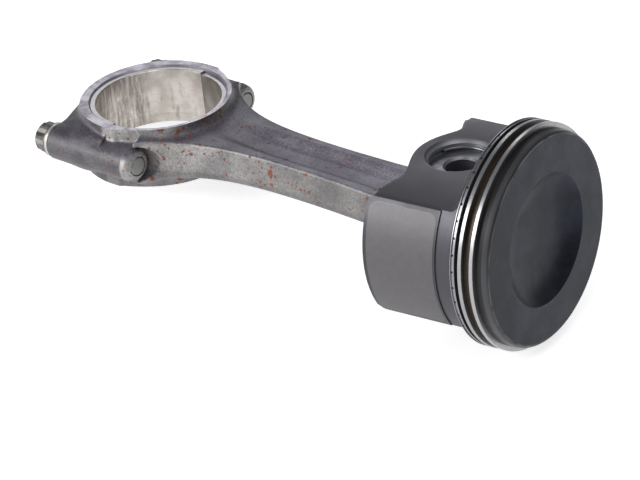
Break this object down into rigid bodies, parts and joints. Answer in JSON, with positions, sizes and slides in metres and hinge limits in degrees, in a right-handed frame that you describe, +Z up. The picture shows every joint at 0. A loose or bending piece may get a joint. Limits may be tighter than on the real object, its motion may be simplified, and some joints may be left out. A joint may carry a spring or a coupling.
{
  "type": "piston and connecting rod assembly",
  "caption": "Engine piston with its rings and wrist pin on a forged connecting rod with a bolted cap and split bearing shells, lying as it rests on a surface.",
  "frame": {"origin": "centre of the big-end bearing bore (the crankpin bore), on its axis midway between the side faces", "axes": "+Z up, away from the level surface that the assembly lies on; +X horizontal, from the big end towards the piston; +Y completes the frame. The crankpin axis leans by 8.5 degrees from +Z towards -X, because the piston is thicker than the big end."},
  "size_m": [0.2329, 0.0908, 0.088],
  "materials": {
    "piston_alloy": "graphite-grey machined and coated aluminium alloy",
    "ring_steel": "bright ground steel",
    "ring_iron": "bright ground cast-iron ring",
    "spring_wire": "dark drawn spring wire",
    "pin_steel": "ground case-hardened steel",
    "bush_bronze": "bronze",
    "forged_steel": "forged and shot-peened steel with light rust specks, machined faces bright",
    "bearing_lining": "satin bearing lining, lightly stained",
    "bolt_steel": "phosphated steel"
  },
  "bodies": {
    "rod": {"connecting_rod": "forged_steel", "rod_cap": "forged_steel", "rod_bearing_shell": "bearing_lining", "cap_bearing_shell": "bearing_lining", "near_cap_bolt": "bolt_steel", "far_cap_bolt": "bolt_steel", "small_end_bush": "bush_bronze"},
    "piston": {"piston": "piston_alloy", "upper_circlip": "spring_wire", "lower_circlip": "spring_wire"},
    "wrist_pin": {"wrist_pin": "pin_steel"},
    "top_ring": {"top_ring": "ring_steel"},
    "second_ring": {"second_ring": "ring_iron"},
    "oil_ring": {"oil_ring": "ring_steel", "oil_ring_expander": "spring_wire"}
  },
  "joints": [
    {"name": "piston_swing", "type": "hinge", "parent": "rod", "child": "piston", "pos_m": [0.15533, 0, 0.02321], "axis": [-0.1478, 0, 0.989], "range_deg": [-49.86, 36.14]},
    {"name": "wrist_pin_turn", "type": "hinge", "parent": "piston", "child": "wrist_pin", "pos_m": [0.15533, 0, 0.02321], "axis": [-0.1478, 0, 0.989], "continuous": true},
    {"name": "top_ring_turn", "type": "hinge", "parent": "piston", "child": "top_ring", "pos_m": [0.18454, 0.00355, 0.02757], "axis": [0.9819, 0.1194, 0.1467], "continuous": true},
    {"name": "second_ring_turn", "type": "hinge", "parent": "piston", "child": "second_ring", "pos_m": [0.17968, 0.00296, 0.02685], "axis": [0.9819, 0.1194, 0.1467], "continuous": true},
    {"name": "oil_ring_turn", "type": "hinge", "parent": "piston", "child": "oil_ring", "pos_m": [0.17651, 0.00258, 0.02637], "axis": [0.9819, 0.1194, 0.1467], "continuous": true}
  ]
}
